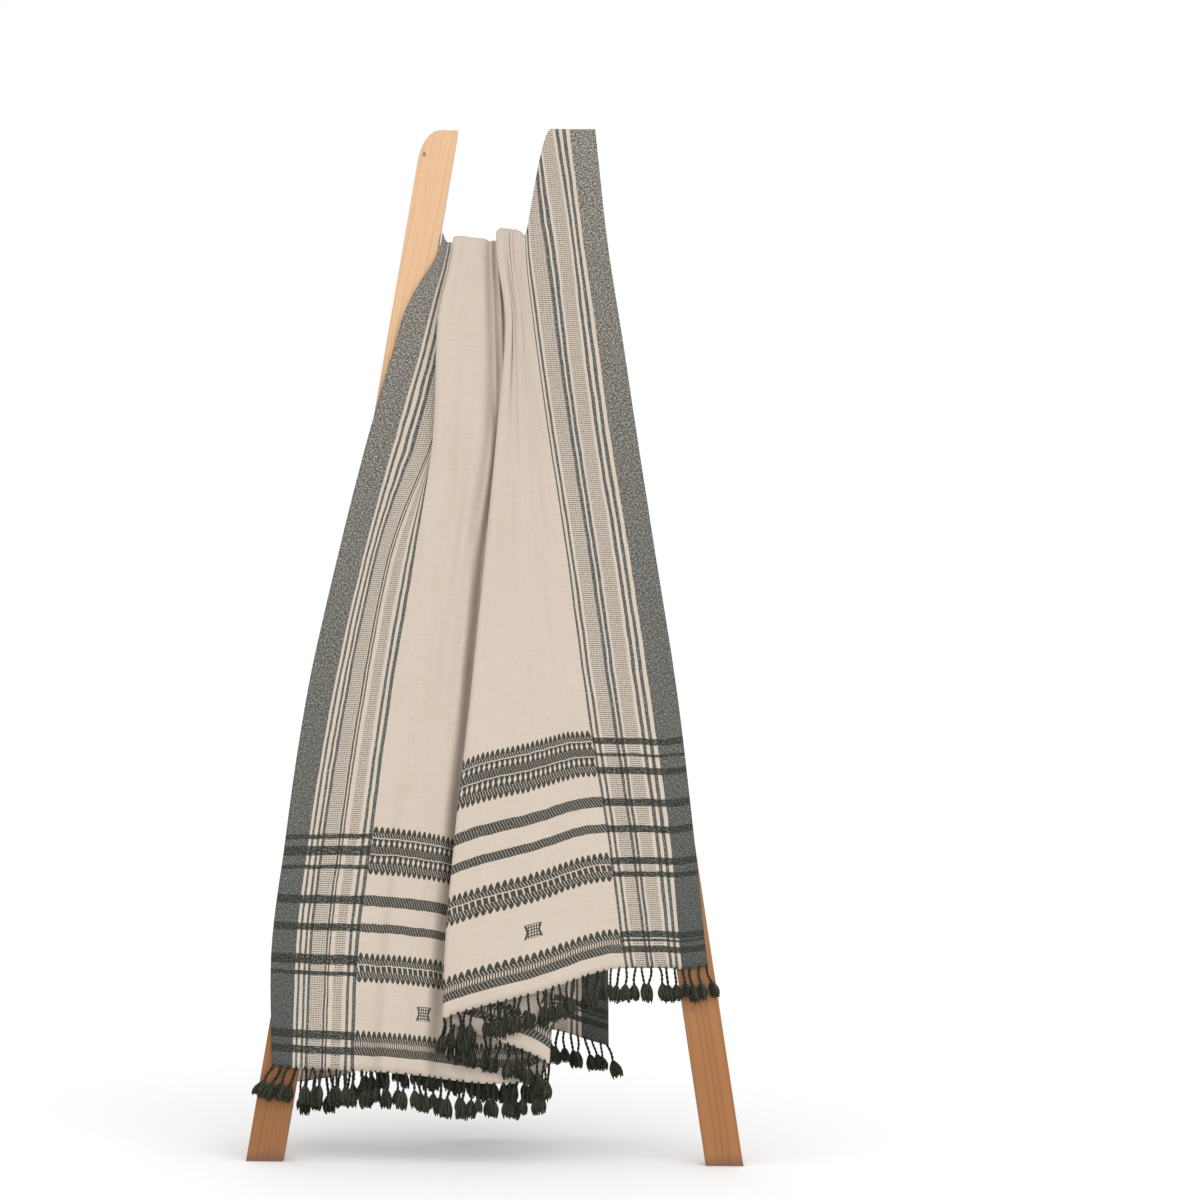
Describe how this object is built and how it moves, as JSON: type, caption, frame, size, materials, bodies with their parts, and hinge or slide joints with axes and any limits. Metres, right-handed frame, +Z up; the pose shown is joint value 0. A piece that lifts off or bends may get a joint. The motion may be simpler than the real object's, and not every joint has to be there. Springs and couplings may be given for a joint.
{
  "type": "throw blanket on leaning wooden ladder",
  "caption": "Handwoven throw with dark striped borders and tasselled ends, draped over the top of a tapered wooden ladder that leans on a wall.",
  "frame": {"origin": "on the floor, below the middle of the whole object's box", "axes": "+Z up; -Y towards the viewer, who sees the throw's front; +Y towards the wall that the ladder leans on; +X to the viewer's right"},
  "size_m": [0.6156, 0.2696, 1.3117],
  "materials": {
    "undyed_wool": "handwoven cloth with charcoal stripes and bands",
    "charcoal_wool": "matt twisted yarn",
    "planed_pine": "planed, with a thin clear oil"
  },
  "bodies": {
    "root": {"cloth": "undyed_wool", "fringe_front": "charcoal_wool", "fringe_back": "charcoal_wool", "rail_left": "planed_pine", "rail_right": "planed_pine", "rung_1": "planed_pine", "rung_2": "planed_pine", "rung_3": "planed_pine", "rung_4": "planed_pine"}
  },
  "joints": []
}
